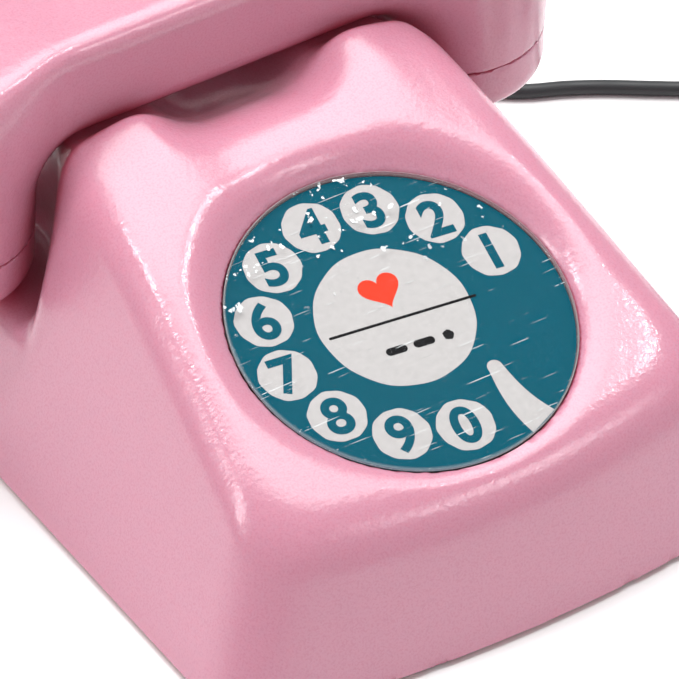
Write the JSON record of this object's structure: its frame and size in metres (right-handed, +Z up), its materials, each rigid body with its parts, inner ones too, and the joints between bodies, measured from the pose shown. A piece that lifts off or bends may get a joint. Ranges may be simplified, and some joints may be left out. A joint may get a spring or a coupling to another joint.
{
  "type": "compact table telephone",
  "caption": "Compact wedge-shaped table telephone with a handset across its cradle, a hook switch, a ringer, a printed dial under a clear lens, and a line cord.",
  "frame": {"origin": "on the table, under the middle of the telephone's box, cord left out", "axes": "+X to the right seen from the front, +Y to the back, +Z up; the dial faces -Y and up"},
  "size_m": [0.2668, 0.2077, 0.0905],
  "materials": {
    "pink_shell": "high gloss moulded, slight orange peel",
    "clear_lens": "clear and scuffed",
    "printed_card": "printed teal and white under the lens",
    "black_plastic": "fine matt",
    "black_rubber": "satin",
    "plated_steel": "zinc plated",
    "brass": "dull",
    "phenolic": "laminate",
    "copper_winding": "varnished winding wire",
    "aluminium_can": "satin"
  },
  "bodies": {
    "phone_base": {"housing": "pink_shell", "dial_lens": "clear_lens", "dial_card": "printed_card", "dial_carrier": "black_plastic", "dial_nut": "plated_steel", "hook_bracket": "plated_steel", "lever_pin": "plated_steel", "contact_block": "phenolic", "contact_spring_moving": "brass", "contact_spring_fixed": "brass", "base_plate": "black_plastic", "foot_front_left": "black_rubber", "foot_front_right": "black_rubber", "foot_rear_right": "black_rubber", "foot_rear_left": "black_rubber", "base_screw_front_left": "plated_steel", "base_screw_front_right": "plated_steel", "base_screw_rear_right": "plated_steel", "base_screw_rear_left": "plated_steel", "gong_left": "brass", "gong_right": "brass", "gong_post_left": "plated_steel", "gong_post_right": "plated_steel", "ringer_frame": "plated_steel", "ringer_coil": "copper_winding", "ringer_core": "plated_steel", "network_board": "phenolic", "terminal_screw_1": "brass", "terminal_screw_2": "brass", "terminal_screw_3": "brass", "terminal_screw_4": "brass", "induction_coil_core": "plated_steel", "induction_coil_winding": "copper_winding", "capacitor": "aluminium_can", "cord_strain_relief": "black_rubber", "handset_cord_grommet": "black_rubber", "line_cord_lead": "black_rubber", "line_cord_coil": "black_rubber", "line_cord_tail": "black_rubber", "line_plug": "black_plastic", "plug_pin_1": "brass", "plug_pin_2": "brass", "plug_pin_3": "brass", "plug_pin_4": "brass"},
    "handset": {"handset_shell": "pink_shell", "receiver_cap": "pink_shell", "transmitter_cap": "pink_shell", "receiver_capsule": "aluminium_can", "transmitter_capsule": "aluminium_can", "handset_cord_inlet": "black_rubber"},
    "hook_plunger_left": {"hook_plunger_left": "black_plastic", "plunger_spring_left": "plated_steel"},
    "hook_plunger_right": {"hook_plunger_right": "black_plastic", "plunger_spring_right": "plated_steel"},
    "hook_lever": {"hook_lever": "plated_steel"},
    "ringer_clapper": {"ringer_clapper": "plated_steel"}
  },
  "joints": [
    {"name": "handset_lift", "type": "slide", "parent": "phone_base", "child": "handset", "axis": [0, 0, 1], "range_m": [0, 0.06]},
    {"name": "hook_plunger_left_rise", "type": "slide", "parent": "phone_base", "child": "hook_plunger_left", "axis": [0, 0, 1], "range_m": [0, 0.005], "stiffness_N_per_m": 60, "springref_m": 0.01, "deforming": ["plunger_spring_left"]},
    {"name": "hook_plunger_right_rise", "type": "slide", "parent": "phone_base", "child": "hook_plunger_right", "axis": [0, 0, 1], "range_m": [0, 0.005], "stiffness_N_per_m": 60, "springref_m": 0.01, "deforming": ["plunger_spring_right"]},
    {"name": "hook_lever_rock", "type": "hinge", "parent": "phone_base", "child": "hook_lever", "pos_m": [0, 0.034, 0.037], "axis": [1, 0, 0], "range_deg": [0, 13.8]},
    {"name": "clapper_swing", "type": "hinge", "parent": "phone_base", "child": "ringer_clapper", "pos_m": [0, 0.002, 0.0195], "axis": [0, 0, 1], "range_deg": [-15, 15], "stiffness_Nm_per_rad": 0.002}
  ],
  "couplings": [
    {"joint": "hook_plunger_left_rise", "follows": "handset_lift", "ratio": 0.0833},
    {"joint": "hook_plunger_right_rise", "follows": "handset_lift", "ratio": 0.0833},
    {"joint": "hook_lever_rock", "follows": "handset_lift", "rad_per_m": 4}
  ]
}
